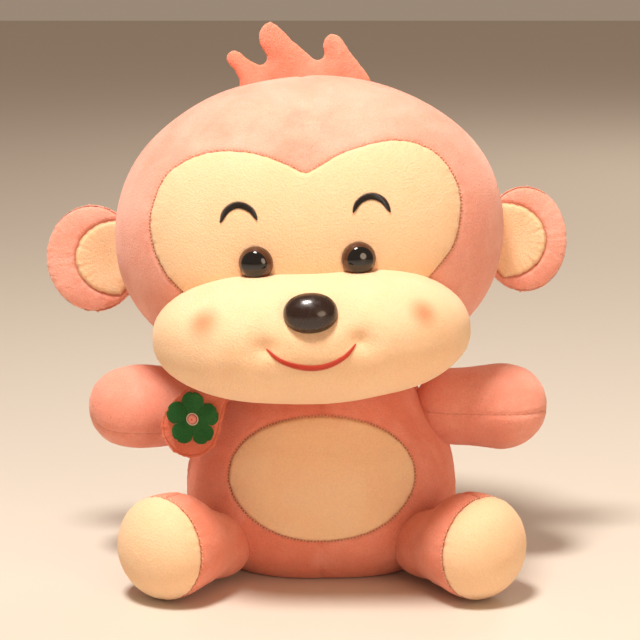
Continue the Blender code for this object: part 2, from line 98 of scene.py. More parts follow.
bpy.ops.mesh.primitive_plane_add(size=40.0, location=(0, 0, -0.0004))
floor = bpy.context.object
floor.name = "floor"
floor_paint = bpy.data.materials.new("floor_paint")
floor_paint.use_nodes = True
floor_paint.node_tree.nodes["Principled BSDF"].inputs["Base Color"].default_value = \
    (0.68, 0.62, 0.55, 1)
floor_paint.node_tree.nodes["Principled BSDF"].inputs["Roughness"].default_value = 0.6
floor.data.materials.append(floor_paint)

# ---------------------------------------------------------------------------
# Head: the pink plush skin, four panels sewn edge to edge over a ball of fibre,
# with a centre seam from forehead to nape and a side seam from ear to ear.  The
# cream face is let in at the front; its edge lies in a pulled-in seam.
# ---------------------------------------------------------------------------
HEAD_AT = Vector((-0.008, -0.006, 0.217))
HEAD_ROLL = math.radians(-2.6)
HEAD_HALF = np.array((0.124, 0.091, 0.097))
HEAD_TURN = Matrix.Translation(HEAD_AT) @ Matrix.Rotation(HEAD_ROLL, 4, "Y")
FACE_EDGE = [(0.0, 45.6), (9.1, 49.2), (24.4, 56.2), (48.9, 60.8), (67.4, 58.1), (82.4, 48.7),
             (91.8, 33.1), (94.0, 18.2), (90.4, 0.7), (85.0, -8.9), (75.7, -18.8), (60.0, -35.0),
             (34.0, -46.0), (0.0, -50.0), (-38.0, -46.0), (-66.0, -36.0), (-80.6, -22.7),
             (-87.6, -15.0), (-94.0, -1.5), (-96.5, 14.6), (-93.4, 29.5), (-84.7, 45.4),
             (-69.8, 54.8), (-54.0, 58.9), (-38.6, 58.7), (-25.3, 56.2), (-11.7, 51.0)]


def read_points(mesh):
    """The mesh's points as rows of x, y, z."""
    points = np.empty(len(mesh.vertices) * 3)
    mesh.vertices.foreach_get("co", points)
    return points.reshape(-1, 3)


def write_points(mesh, points):
    """Move the mesh's points to these rows of x, y, z."""
    mesh.vertices.foreach_set("co", np.ascontiguousarray(points, dtype=float).ravel())
    mesh.update()


def outward(mesh):
    """The surface's outward direction at each point."""
    normals = np.empty(len(mesh.vertices) * 3, dtype=np.float32)
    mesh.vertex_normals.foreach_get("vector", normals)
    return normals.reshape(-1, 3).astype(float)


def cloth_ball(name, cuts):
    """An even ball of square faces, radius 1, to be shaped into a stuffed form."""
    bpy.ops.object.select_all(action="DESELECT")
    bpy.ops.mesh.primitive_cube_add(size=2.0)
    made = bpy.context.object
    bpy.ops.object.mode_set(mode="EDIT")
    bpy.ops.mesh.select_all(action="SELECT")
    bpy.ops.mesh.subdivide(number_cuts=cuts)
    bpy.ops.object.mode_set(mode="OBJECT")
    points = np.tan(read_points(made.data) * math.pi / 4)
    write_points(made.data, points / np.linalg.norm(points, axis=1)[:, None])
    made.name = made.data.name = name
    return made


def round_through(points, per=24, closed=True):
    """A smooth line through the points, as rows of coordinates."""
    points = np.asarray(points, float)
    count = len(points)
    rows = []
    for i in range(count if closed else count - 1):
        if closed:
            a, b, c, d = (points[(i + k) % count] for k in (-1, 0, 1, 2))
        else:
            a, b, c, d = (points[min(max(i + k, 0), count - 1)] for k in (-1, 0, 1, 2))
        t = (np.arange(per) / per)[:, None]
        rows.append(0.5 * (2 * b + (c - a) * t + (2 * a - 5 * b + 4 * c - d) * t ** 2
                           + (3 * b - a - 3 * c + d) * t ** 3))
    if not closed:
        rows.append(points[-1:])
    return np.concatenate(rows)


def run_along(line):
    """The distance run along the line up to each of its points."""
    return np.concatenate([[0], np.cumsum(np.linalg.norm(np.diff(line, axis=0), axis=1))])


def closed(line):
    """The line with its first point repeated at its end."""
    return np.concatenate([line, line[:1]])


def all_round(count):
    """Evenly spaced angles once round."""
    return np.linspace(0, 2 * math.pi, count, endpoint=False)


def seam_distance(points, line):
    """(distance to the line, distance run along it) for each point."""
    run = run_along(line)
    near, along = np.empty(len(points)), np.empty(len(points))
    for start in range(0, len(points), 4000):
        part = points[start:start + 4000]
        square = ((part[:, None] - line[None]) ** 2).sum(-1)
        best = square.argmin(1)
        near[start:start + 4000] = np.sqrt(square[np.arange(len(part)), best])
        along[start:start + 4000] = run[best]
    return near, along


def wander(along, seed, period):
    """A slow uneven wave along a seam, from -1 to 1."""
    rng = np.random.default_rng(seed)
    total = np.zeros_like(along)
    for share in (1.0, 0.61, 1.7):
        total += np.sin(2 * math.pi * along / (period * share) + rng.uniform(0, 6.28))
    return total / 3


NO_SEAM = 1.0


def keep_seam(made, near):
    """Keep each point's distance to the nearest seam, from which the cloth's shader paints shade down
    in the seam.
    """
    mesh = made.data
    keep = mesh.attributes.get("seam") or mesh.attributes.new("seam", "FLOAT", "POINT")
    keep.data.foreach_set("value", near.astype(np.float32))


def pull_seams(made, lines, depth=0.0010, width=0.0016, pucker=0.0004, reach=0.006,
               period=0.009, seed=1, faint=0.0):
    """Sink the cloth along its seams and gather it beside them."""
    mesh = made.data
    points, normals = read_points(mesh), outward(mesh)
    nearest = np.full(len(points), NO_SEAM, np.float32)
    if "seam" in mesh.attributes:
        mesh.attributes["seam"].data.foreach_get("value", nearest)
    lift = np.zeros(len(points))
    for k, line in enumerate(lines):
        near, along = seam_distance(points, np.asarray(line))
        lift -= depth * np.exp(-(near / width) ** 2)
        lift += pucker * wander(along, seed + k, period) * np.exp(-(near / reach) ** 1.5) \
            * (1 - np.exp(-(near / 0.0015) ** 2))
        # faint adds to the kept distance, so these seams get less of the painted seam shade.
        nearest = np.minimum(nearest, near + faint)
    write_points(mesh, points + normals * lift[:, None])
    keep_seam(made, nearest)


def lumps(points, size, seed):
    """Soft uneven filling: a smooth random field from -1 to 1."""
    rng = np.random.default_rng(seed)
    total = np.zeros(len(points))
    for _ in range(14):
        wave = rng.normal(size=3)
        wave *= 2 * math.pi / size / np.linalg.norm(wave) * rng.uniform(0.6, 1.3)
        total += np.sin(points @ wave + rng.uniform(0, 6.28))
    return total / 14 * 1.9


def place(made, turn):
    """Move the piece's mesh itself, so that its own frame stays the world's."""
    made.data.transform(turn)
    made.data.update()


def soft_shade(made, material):
    """Give the whole piece one material and smooth shading."""
    made.data.materials.clear()
    made.data.materials.append(material)
    made.data.shade_smooth()


# Plush cloth: a short dense nap.  It is paler where it stands towards the
# light, streaked where it was brushed, and painted darker as shade down in a seam.
plush = bpy.data.node_groups.new("plush_nap", "ShaderNodeTree")
for label, kind, value in (("Cloth", "NodeSocketColor", (1, 1, 1, 1)),
                           ("Brushed", "NodeSocketColor", (1, 1, 1, 1)),
                           ("Seam shade", "NodeSocketColor", (0.5, 0.5, 0.5, 1)),
                           ("Streaks", "NodeSocketFloat", 0.4),
                           ("Speckle", "NodeSocketFloat", 0.16)):
    socket = plush.interface.new_socket(label, in_out="INPUT", socket_type=kind)
    socket.default_value = value
for label, kind in (("Colour", "NodeSocketColor"), ("Pile", "NodeSocketFloat"),
                    ("Roughness", "NodeSocketFloat")):
    plush.interface.new_socket(label, in_out="OUTPUT", socket_type=kind)


def add_node(tree, kind, values=(), **settings):
    """A shader node with its settings and input values."""
    made = tree.nodes.new(kind)
    for key, value in settings.items():
        setattr(made, key, value)
    for key, value in dict(values).items():
        made.inputs[key].default_value = value
    return made


def wire(tree, *pairs):
    """Link each (output, input) pair."""
    for source, target in pairs:
        tree.links.new(source, target)


ins = add_node(plush, "NodeGroupInput")
outs = add_node(plush, "NodeGroupOutput")
where = add_node(plush, "ShaderNodeTexCoord")
brush = add_node(plush, "ShaderNodeTexNoise", {"Scale": 26.0, "Detail": 3.0, "Roughness": 0.55,
                                               "Distortion": 0.6})
brush_range = add_node(plush, "ShaderNodeMapRange", {"From Min": 0.38, "From Max": 0.66})
patchy = add_node(plush, "ShaderNodeTexNoise", {"Scale": 95.0, "Detail": 2.0, "Roughness": 0.6})
patchy_range = add_node(plush, "ShaderNodeMapRange", {"From Min": 0.3, "From Max": 0.7})
fibre = add_node(plush, "ShaderNodeTexNoise", {"Scale": 900.0, "Detail": 2.0, "Roughness": 0.7})
fibre_range = add_node(plush, "ShaderNodeMapRange", {"From Min": 0.3, "From Max": 0.7})
tuftlet = add_node(plush, "ShaderNodeTexVoronoi", {"Scale": 620.0, "Randomness": 1.0})
both = add_node(plush, "ShaderNodeMath", operation="MULTIPLY")
mix_brushed = add_node(plush, "ShaderNodeMix", data_type="RGBA")
speckle_half = add_node(plush, "ShaderNodeMath", {1: 0.5}, operation="SUBTRACT")
speckle_size = add_node(plush, "ShaderNodeMath", operation="MULTIPLY")
speckle_one = add_node(plush, "ShaderNodeMath", {1: 1.0}, operation="ADD")
speckled = add_node(plush, "ShaderNodeVectorMath", operation="SCALE")
# Painted shade: close to a seam the colour is mixed towards a darker colour that stands in for the
# shade down in the seam.
seam_at = add_node(plush, "ShaderNodeAttribute", attribute_name="seam")
seam_shade_fade = add_node(plush, "ShaderNodeMapRange", {"From Min": 0.0002, "From Max": 0.0017,
                                                   "To Min": 0.66, "To Max": 0.0})
seam_shade_fade.interpolation_type = "SMOOTHSTEP"
mix_seam_shade = add_node(plush, "ShaderNodeMix", data_type="RGBA")
pile_sum = add_node(plush, "ShaderNodeMath", {1: 0.6, 2: 0.0}, operation="MULTIPLY_ADD")
rough = add_node(plush, "ShaderNodeMapRange", {"To Min": 0.86, "To Max": 0.98})
patch_mean = add_node(plush, "ShaderNodeMath", {1: 0.35, 2: 0.0}, operation="MULTIPLY_ADD")
wire(plush,
     (where.outputs["Object"], brush.inputs["Vector"]),
     (where.outputs["Object"], patchy.inputs["Vector"]),
     (where.outputs["Object"], fibre.inputs["Vector"]),
     (where.outputs["Object"], tuftlet.inputs["Vector"]),
     (brush.outputs["Fac"], brush_range.inputs["Value"]),
     (patchy.outputs["Fac"], patchy_range.inputs["Value"]),
     (patchy_range.outputs["Result"], patch_mean.inputs[0]),
     (brush_range.outputs["Result"], patch_mean.inputs[2]),
     (patch_mean.outputs[0], both.inputs[0]),
     (ins.outputs["Streaks"], both.inputs[1]),
     (both.outputs[0], mix_brushed.inputs["Factor"]),
     (ins.outputs["Cloth"], mix_brushed.inputs[6]),
     (ins.outputs["Brushed"], mix_brushed.inputs[7]),
     (fibre.outputs["Fac"], fibre_range.inputs["Value"]),
     (fibre_range.outputs["Result"], speckle_half.inputs[0]),
     (speckle_half.outputs[0], speckle_size.inputs[0]),
     (ins.outputs["Speckle"], speckle_size.inputs[1]),
     (speckle_size.outputs[0], speckle_one.inputs[0]),
     (mix_brushed.outputs[2], speckled.inputs[0]),
     (speckle_one.outputs[0], speckled.inputs["Scale"]),
     (seam_at.outputs["Fac"], seam_shade_fade.inputs["Value"]),
     (seam_shade_fade.outputs["Result"], mix_seam_shade.inputs["Factor"]),
     (speckled.outputs[0], mix_seam_shade.inputs[6]),
     (ins.outputs["Seam shade"], mix_seam_shade.inputs[7]),
     (mix_seam_shade.outputs[2], outs.inputs["Colour"]),
     (tuftlet.outputs["Distance"], pile_sum.inputs[0]),
     (fibre_range.outputs["Result"], pile_sum.inputs[2]),
     (pile_sum.outputs[0], outs.inputs["Pile"]),
     (patchy_range.outputs["Result"], rough.inputs["Value"]),
     (rough.outputs["Result"], outs.inputs["Roughness"]))


def new_material(name):
    """(material, its node tree, its Principled shader)."""
    made = bpy.data.materials.new(name)
    made.use_nodes = True
    return made, made.node_tree, made.node_tree.nodes["Principled BSDF"]


def plush_material(name, cloth, brushed, seam_shade, sheen, tint, streaks=0.45, speckle=0.16,
                   blush=()):
    """Plush cloth; its third colour is painted shade down in the seams, and blush is a list of
    (centre, radius, tone) of airbrushed spots.
    """
    made, tree, shader = new_material(name)
    nap = tree.nodes.new("ShaderNodeGroup")
    nap.node_tree = plush
    for key, value in (("Cloth", (*cloth, 1)), ("Brushed", (*brushed, 1)), ("Seam shade", (*seam_shade, 1)),
                       ("Streaks", streaks), ("Speckle", speckle)):
        nap.inputs[key].default_value = value
    bump = add_node(tree, "ShaderNodeBump", {"Strength": 0.42, "Distance": 0.0006})
    colour = nap.outputs["Colour"]
    for centre, radius, tone in blush:
        spot = add_node(tree, "ShaderNodeTexCoord")
        apart = add_node(tree, "ShaderNodeVectorMath", {1: centre}, operation="DISTANCE")
        fade = add_node(tree, "ShaderNodeMapRange",
                        {"From Min": 0.0, "From Max": radius, "To Min": 0.85, "To Max": 0.0})
        fade.interpolation_type = "SMOOTHSTEP"
        tinted = add_node(tree, "ShaderNodeMix", {7: (*tone, 1)}, data_type="RGBA",
                          blend_type="MULTIPLY")
        wire(tree, (spot.outputs["Object"], apart.inputs[0]),
             (apart.outputs["Value"], fade.inputs["Value"]),
             (fade.outputs["Result"], tinted.inputs["Factor"]),
             (colour, tinted.inputs[6]))
        colour = tinted.outputs[2]
    wire(tree, (colour, shader.inputs["Base Color"]),
         (nap.outputs["Roughness"], shader.inputs["Roughness"]),
         (nap.outputs["Pile"], bump.inputs["Height"]),
         (bump.outputs["Normal"], shader.inputs["Normal"]))
    shader.inputs["Sheen Weight"].default_value = sheen
    shader.inputs["Sheen Roughness"].default_value = 0.45
    shader.inputs["Sheen Tint"].default_value = (*tint, 1)
    shader.inputs["Specular IOR Level"].default_value = 0.12
    shader.inputs["Subsurface Weight"].default_value = 0.25
    shader.inputs["Subsurface Radius"].default_value = (1.0, 0.42, 0.22)
    shader.inputs["Subsurface Scale"].default_value = 0.006
    return made


# The third colour of each plush is the painted shade down in its seams.
pink_plush = plush_material("pink_plush", (0.84, 0.345, 0.255), (0.93, 0.48, 0.385),
                            (0.46, 0.12, 0.07), 0.36, (1.0, 0.80, 0.74), 0.65)
# Painted shade: a darker copy of the pink plush, for the body, legs and tuft, standing in for the
# head's shadow on them and the tuft's turn away from the light.
shaded_pink_plush = plush_material("shaded_pink_plush", (0.78, 0.240, 0.155), (0.88, 0.36, 0.265),
                                 (0.40, 0.08, 0.04), 0.26, (1.0, 0.66, 0.56), 0.65)
# Painted shade: a copy of the pink plush darkened less, for the arms, which lie partly in the head's
# shadow.
arm_shaded_pink_plush = plush_material("arm_shaded_pink_plush", (0.81, 0.300, 0.215), (0.90, 0.43, 0.335),
                                (0.42, 0.10, 0.05), 0.32, (1.0, 0.74, 0.66), 0.65)
# Cream plush: cloth, brushed and painted seam shade colours, sheen, sheen tint, streaks and speckle.
CREAM = ((0.92, 0.600, 0.365), (0.94, 0.68, 0.455), (0.70, 0.36, 0.17), 0.16,
         (1.0, 0.90, 0.8), 0.35, 0.10)
cream_plush = plush_material("cream_plush", *CREAM)

def smooth_step(value, low, high):
    """0 below low, 1 above high, eased between."""
    t = np.clip((value - low) / (high - low), 0, 1)
    return t * t * (3 - 2 * t)


def boxed(unit, square):
    """Push a unit ball's points towards a rounded box; 1 leaves the ball."""
    out = np.sign(unit) * np.abs(unit) ** square
    size = (np.abs(out) ** (2 / square)).sum(1) ** (square / 2)
    return out / size[:, None]


head_plush = cloth_ball("head_plush", 104)
unit = read_points(head_plush.data)
head_form = boxed(unit, 0.955) * HEAD_HALF
head_form[:, 2] += 0.0010 * np.clip(unit[:, 2], 0, 1)
write_points(head_plush.data, head_form)
write_points(head_plush.data,
             head_form + outward(head_plush.data) * (0.0011 * lumps(head_form, 0.075, 3))[:, None])


def surface_tree(made):
    """The piece's surface as it is now, to be asked for its points."""
    return BVHTree.FromPolygons([v.co for v in made.data.vertices],
                                [tuple(f.vertices) for f in made.data.polygons])


def front_of(made):
    """A function of (x, z) that gives the point on the front of the piece there."""
    tree = surface_tree(made)

    def find(x, z):
        x, z = np.broadcast_arrays(np.atleast_1d(np.asarray(x, float)),
                                   np.atleast_1d(np.asarray(z, float)))
        rows = []
        for at_x, at_z in zip(x, z):
            hit = tree.ray_cast(Vector((at_x, -1.0, at_z)), Vector((0, 1, 0)))
            rows.append((at_x, hit[0].y if hit[0] else 0.0, at_z))
        return np.array(rows)

    return find


def laid_on(made, line):
    """The line's points moved to the nearest points of the piece's surface."""
    tree = surface_tree(made)
    return np.array([tuple(tree.find_nearest(Vector(point))[0]) for point in line])


head_front = front_of(head_plush)
outline = round_through(np.array(FACE_EDGE[::-1]) / 1000, 16)
face_line = head_front(outline[:, 0], outline[:, 1])
arc = np.linspace(0, 2 * math.pi, 900)
forehead = np.stack([0 * arc, -HEAD_HALF[1] * np.sin(arc), HEAD_HALF[2] * np.cos(arc)], 1)
forehead = laid_on(head_plush, forehead[(forehead[:, 2] > 0.0460) | (forehead[:, 1] > 0)])
ear_to_ear = laid_on(head_plush, np.stack([HEAD_HALF[0] * np.sin(arc), 0.016 + 0 * arc,
                                           HEAD_HALF[2] * np.cos(arc)], 1))
pull_seams(head_plush, [closed(face_line)], depth=0.0009)
pull_seams(head_plush, [forehead, ear_to_ear], depth=0.0010, seed=4, faint=0.0006)
place(head_plush, HEAD_TURN)
soft_shade(head_plush, pink_plush)
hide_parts("head_front_left", "head_front_right", "head_back_left",
            "head_back_right", "head_stuffing", "eye_washer_left", "eye_washer_right",
            "neck_stuffing")
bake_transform(head_plush)


def ring_grid(name, count, rings):
    """(a grid to be laid in rings, each point's place round it, its share of the
    way out); the grid's ends meet, and its first row all falls on the middle."""
    bpy.ops.object.select_all(action="DESELECT")
    bpy.ops.mesh.primitive_grid_add(x_subdivisions=count, y_subdivisions=rings, size=2.0)
    made = bpy.context.object
    made.name = made.data.name = name
    grid = (read_points(made.data) + 1) / 2
    return made, np.rint(grid[:, 0] * count).astype(int) % count, grid[:, 1]


def join_meeting_points():
    """Weld the points of the mesh just laid that fall on each other."""
    bpy.ops.object.mode_set(mode="EDIT")
    bpy.ops.mesh.select_all(action="SELECT")
    bpy.ops.mesh.remove_doubles(threshold=1e-7)
    bpy.ops.object.mode_set(mode="OBJECT")


def sewn_patch(name, rim, surface, material, rings=44, puff=0.0007, sink=0.0015, lift=0.0005,
               centre=(0.0, 0.0), seed=5):
    """A cloth patch filling the rim (rows of x, z): it follows the surface just
    proud of it, and dives into the seam along its edge."""
    rim = np.asarray(rim, float)
    made, turn, out = ring_grid(name, len(rim), rings)
    share = 1 - (1 - out) ** 1.35
    flat = np.asarray(centre) + (rim[turn] - np.asarray(centre)) * share[:, None]
    write_points(made.data, surface(flat[:, 0], flat[:, 1]))
    join_meeting_points()
    mesh = made.data
    points, normals = read_points(mesh), outward(mesh)
    if normals[:, 1].sum() > 0:
        mesh.flip_normals()
        normals = -normals
    line = surface(rim[:, 0], rim[:, 1])
    near, along = seam_distance(points, closed(line))
    rise = lift + puff * (1 - np.exp(-near / 0.006)) - sink * np.exp(-(near / 0.0012) ** 2) \
        + 0.00040 * wander(along, seed, 0.008) * np.exp(-(near / 0.006) ** 1.5)
    write_points(mesh, points + normals * rise[:, None])
    keep_seam(made, near)
    soft_shade(made, material)
    return made


face_plush = sewn_patch("face_plush", outline, head_front, cream_plush)
face_front = front_of(face_plush)
place(face_plush, HEAD_TURN)
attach(face_plush, "head")
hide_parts("face_patch")


# ---------------------------------------------------------------------------
# Muzzle: a bean-shaped pillow of the same cream plush, stuffed apart and sewn
# over the lower face, so its top edge stands out and covers the eyes' lower rims.
# ---------------------------------------------------------------------------
MUZZLE_AT = np.array((-0.0005, -0.080, -0.0515))
MUZZLE_HALF = np.array((0.0980, 0.060, 0.0418))
MUZZLE_SQUARE = 0.86
CORNERS = ((0.0280, -0.0478), (-0.0270, -0.0500))


def apply_step(made, kind, **settings):
    """Add one modifier to the piece and apply it."""
    bpy.ops.object.select_all(action="DESELECT")
    made.select_set(True)
    bpy.context.view_layer.objects.active = made
    step = made.modifiers.new("step", kind)
    for key, value in settings.items():
        setattr(step, key, value)
    bpy.ops.object.modifier_apply(modifier="step")


def finer_mesh(made):
    """Halve the piece's faces and round them."""
    apply_step(made, "SUBSURF", levels=1, render_levels=1)


def fill_with_fibre(made, pressure, most, steps=18, bend=0.4):
    """Cloth simulated under pressure from inside, which rounds the pillow and
    gathers its edges; no point moves more than `most`."""
    scene = bpy.context.scene
    before = read_points(made.data)
    bpy.ops.object.select_all(action="DESELECT")
    made.select_set(True)
    bpy.context.view_layer.objects.active = made
    cloth = made.modifiers.new("cloth", "CLOTH")
    cloth.settings.quality = 5
    cloth.settings.mass = 0.2
    cloth.settings.tension_stiffness = cloth.settings.compression_stiffness = 12
    cloth.settings.shear_stiffness = 6
    cloth.settings.bending_stiffness = bend
    cloth.settings.use_pressure = True
    cloth.settings.uniform_pressure_force = pressure
    cloth.settings.effector_weights.gravity = 0
    cloth.collision_settings.use_collision = False
    cloth.point_cache.frame_start, cloth.point_cache.frame_end = 1, steps
    for step in range(1, steps + 1):
        scene.frame_set(step)
    bpy.ops.object.modifier_apply(modifier="cloth")
    scene.frame_set(1)
    move = read_points(made.data) - before
    size = np.linalg.norm(move, axis=1)[:, None]
    write_points(made.data, before + move * np.minimum(1, most / np.maximum(size, 1e-9)))


muzzle_plush = cloth_ball("muzzle_plush", 46)
unit = boxed(read_points(muzzle_plush.data), MUZZLE_SQUARE)
form = unit * MUZZLE_HALF
cheek = np.exp(-((np.abs(form[:, 0]) - 0.060) / 0.030) ** 2)
form[:, 1] -= 0.0035 * cheek * (form[:, 1] < 0) * np.abs(unit[:, 1])
form[:, 2] -= 0.0030 * np.exp(-(form[:, 0] / 0.030) ** 2) * np.clip(unit[:, 2], 0, 1)
form[:, 2] -= 0.0022 * np.exp(-(form[:, 0] / 0.040) ** 2) * np.clip(-unit[:, 2], 0, 1)
write_points(muzzle_plush.data, (form * (0.975, 0.95, 0.955)) + MUZZLE_AT)
fill_with_fibre(muzzle_plush, 3.0, 0.004)
finer_mesh(muzzle_plush)
form, normals = read_points(muzzle_plush.data), outward(muzzle_plush.data)
muzzle_front = front_of(muzzle_plush)
dent = 0.0008 * lumps(form, 0.045, 8)
for corner_x, corner_z in CORNERS:
    corner = muzzle_front(corner_x, corner_z)[0]
    apart = np.linalg.norm(form - corner, axis=1)
    dent -= 0.0034 * np.exp(-(apart / 0.0060) ** 2)
    dent += 0.0016 * np.exp(-((apart - 0.0150) / 0.0080) ** 2) \
        * smooth_step(np.abs(form[:, 0]), 0.024, 0.044)
button = muzzle_front(0.0, -0.0315)[0]
apart = np.linalg.norm((form - button) * (1, 1, 1.3), axis=1)
dent -= 0.0026 * np.exp(-(apart / 0.0185) ** 4)
dent -= 0.0012 * np.exp(-((form[:, 2] + 0.0620) / 0.004) ** 2) * np.exp(-(form[:, 0] / 0.020) ** 2) \
    * (form[:, 1] < -0.1)
write_points(muzzle_plush.data, form + normals * dent[:, None])
around = np.linspace(0, 2 * math.pi, 700)
sewn = boxed(np.stack([np.cos(around), 0 * around, np.sin(around)], 1), MUZZLE_SQUARE)
pull_seams(muzzle_plush, [sewn * MUZZLE_HALF * (0.99, 1, 0.99) + MUZZLE_AT + (0, 0.012, 0)],
           depth=0.0010, seed=20)
muzzle_front = front_of(muzzle_plush)
blush = [(tuple(HEAD_TURN @ Vector(muzzle_front(x, z)[0])), r, (1.0, 0.43, 0.36))
         for x, z, r in ((0.0655, -0.0350, 0.0135), (-0.0625, -0.0350, 0.0150))]
muzzle_cloth = plush_material("muzzle_cream_plush", *CREAM, blush)
place(muzzle_plush, HEAD_TURN)
soft_shade(muzzle_plush, muzzle_cloth)
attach(muzzle_plush, "head")
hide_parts("muzzle_cover", "muzzle_stuffing", "nose_washer")

# ---------------------------------------------------------------------------
# Safety eyes and nose: glossy moulded plastic domes on shanks through the cloth.
# The eyes are black on a dark brown rim, the nose a dark brown oval.
# ---------------------------------------------------------------------------
EYE_R, EYE_DEEP = 0.0104, 0.0072
EYE_BLACK_SHARE = 0.76
EYE_AT = (0.0306, -0.0068)
NOSE_HALF = (0.0158, 0.0112, 0.0119)
NOSE_Z = -0.0315


def gloss_material(name, colour, roughness, coat):
    """Moulded plastic with a faint unevenness in its polish."""
    made, tree, shader = new_material(name)
    where = add_node(tree, "ShaderNodeTexCoord")
    haze = add_node(tree, "ShaderNodeTexNoise", {"Scale": 260.0, "Detail": 4.0})
    spread = add_node(tree, "ShaderNodeMapRange", {"From Min": 0.35, "From Max": 0.7,
                                                   "To Min": roughness * 0.75,
                                                   "To Max": roughness * 1.35})
    wire(tree, (where.outputs["Object"], haze.inputs["Vector"]),
         (haze.outputs["Fac"], spread.inputs["Value"]),
         (spread.outputs["Result"], shader.inputs["Roughness"]))
    shader.inputs["Base Color"].default_value = (*colour, 1)
    shader.inputs["Coat Weight"].default_value = coat
    shader.inputs["Coat Roughness"].default_value = 0.05
    return made


eye_black = gloss_material("eye_black", (0.004, 0.003, 0.003), 0.10, 0.6)
rim_brown = gloss_material("eye_rim_brown", (0.085, 0.030, 0.013), 0.20, 0.4)
nose_brown = gloss_material("nose_brown", (0.022, 0.009, 0.006), 0.27, 0.30)


def round_ball(name, segments, rings, turn):
    """A ball of radius 1, with its poles turned from Z."""
    bpy.ops.object.select_all(action="DESELECT")
    bpy.ops.mesh.primitive_uv_sphere_add(segments=segments, ring_count=rings, radius=1.0,
                                         rotation=turn)
    made = bpy.context.object
    bpy.ops.object.transform_apply(location=False, rotation=True, scale=False)
    made.name = made.data.name = name
    return made


def plastic_dome(name, half, square=1.0):
    """A ball of the given half sizes; the cloth hides its back."""
    made = round_ball(name, 64, 36, (math.pi / 2, 0, 0))
    write_points(made.data, boxed(read_points(made.data), square) * half)
    return made


for side, sign in (("left", 1), ("right", -1)):
    eye = plastic_dome(f"eye_dome_{side}", (EYE_R, EYE_DEEP, EYE_R))
    form = read_points(eye.data)
    across = np.hypot(form[:, 0], form[:, 2]) / EYE_R
    form[:, 1] -= 0.0005 * (1 - np.clip((across - EYE_BLACK_SHARE) / 0.03, 0, 1)) * (form[:, 1] < 0)
    write_points(eye.data, form)
    soft_shade(eye, eye_black)
    eye.data.materials.append(rim_brown)
    for face in eye.data.polygons:
        face.material_index = int(math.hypot(face.center.x, face.center.z) > EYE_BLACK_SHARE * EYE_R)
    at = face_front(sign * EYE_AT[0] - 0.0010, EYE_AT[1])[0]
    lean = math.atan2(sign * EYE_AT[0] / HEAD_HALF[0] ** 2, 1 / HEAD_HALF[1])
    place(eye, Matrix.Translation((at[0], at[1] - 0.0006, at[2])) @ Matrix.Rotation(lean, 4, "Z"))
    place(eye, HEAD_TURN)
    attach(eye, "head")
    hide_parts(f"eye_{side}")

nose = plastic_dome("nose_dome", NOSE_HALF, 0.93)
above, below = (muzzle_front(0, NOSE_Z + dz)[0][1] for dz in (0.012, -0.012))
slope = math.atan2(above - below, 0.024)
middle = muzzle_front(0, NOSE_Z)[0]
place(nose, Matrix.Translation((0, middle[1] - 0.0015, NOSE_Z))
      @ Matrix.Rotation(-0.8 * slope, 4, "X"))
place(nose, HEAD_TURN)
soft_shade(nose, nose_brown)
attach(nose, "head")
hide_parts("nose")

# ---------------------------------------------------------------------------
# Embroidery: brows in black and the smile in red, in satin stitch.  Each is a
# fan of threads laid side by side across a curved band, thin at the ends.
# ---------------------------------------------------------------------------


def thread_material(name, colour, shine):
    """Embroidery thread, mottled strand by strand."""
    made, tree, shader = new_material(name)
    where = add_node(tree, "ShaderNodeTexCoord")
    strand = add_node(tree, "ShaderNodeTexNoise", {"Scale": 1500.0, "Detail": 2.0})
    tone = add_node(tree, "ShaderNodeMix", {6: (*[c * 0.7 for c in colour], 1),
                                            7: (*[min(1, c * 1.35) for c in colour], 1)},
                    data_type="RGBA")
    wire(tree, (where.outputs["Object"], strand.inputs["Vector"]),
         (strand.outputs["Fac"], tone.inputs["Factor"]),
         (tone.outputs[2], shader.inputs["Base Color"]))
    shader.inputs["Roughness"].default_value = 0.45
    shader.inputs["Sheen Weight"].default_value = shine
    return made


black_thread = thread_material("black_thread", (0.012, 0.008, 0.006), 0.0)
red_thread = thread_material("red_thread", (0.60, 0.050, 0.020), 0.15)
cream_thread = thread_material("cream_thread", (0.86, 0.50, 0.34), 0.10)

one_stitch = round_ball("one_stitch", 6, 5, (0, math.pi / 2, 0))
STITCH = one_stitch.data
bpy.data.objects.remove(one_stitch, do_unlink=True)


def stitches(name, middles, alongs, ups, half_lengths, half_width, height, material):
    """One piece of many stitches, each a bead of thread laid along its own way."""
    copies = []
    for k, (middle, along, up) in enumerate(zip(middles, alongs, ups)):
        along = Vector(along).normalized()
        up = Vector(up)
        up = (up - along * up.dot(along)).normalized()
        across = up.cross(along)
        lay = Matrix((along * half_lengths[k], across * half_width, up * height)).transposed()
        mesh = STITCH.copy()
        mesh.transform(Matrix.Translation(Vector(middle)) @ lay.to_4x4())
        copy = bpy.data.objects.new(name, mesh)
        bpy.context.scene.collection.objects.link(copy)
        copies.append(copy)
    bpy.ops.object.select_all(action="DESELECT")
    for copy in copies:
        copy.select_set(True)
    bpy.context.view_layer.objects.active = copies[0]
    bpy.ops.object.join()
    made = bpy.context.object
    made.name = made.data.name = name
    soft_shade(made, material)
    return made


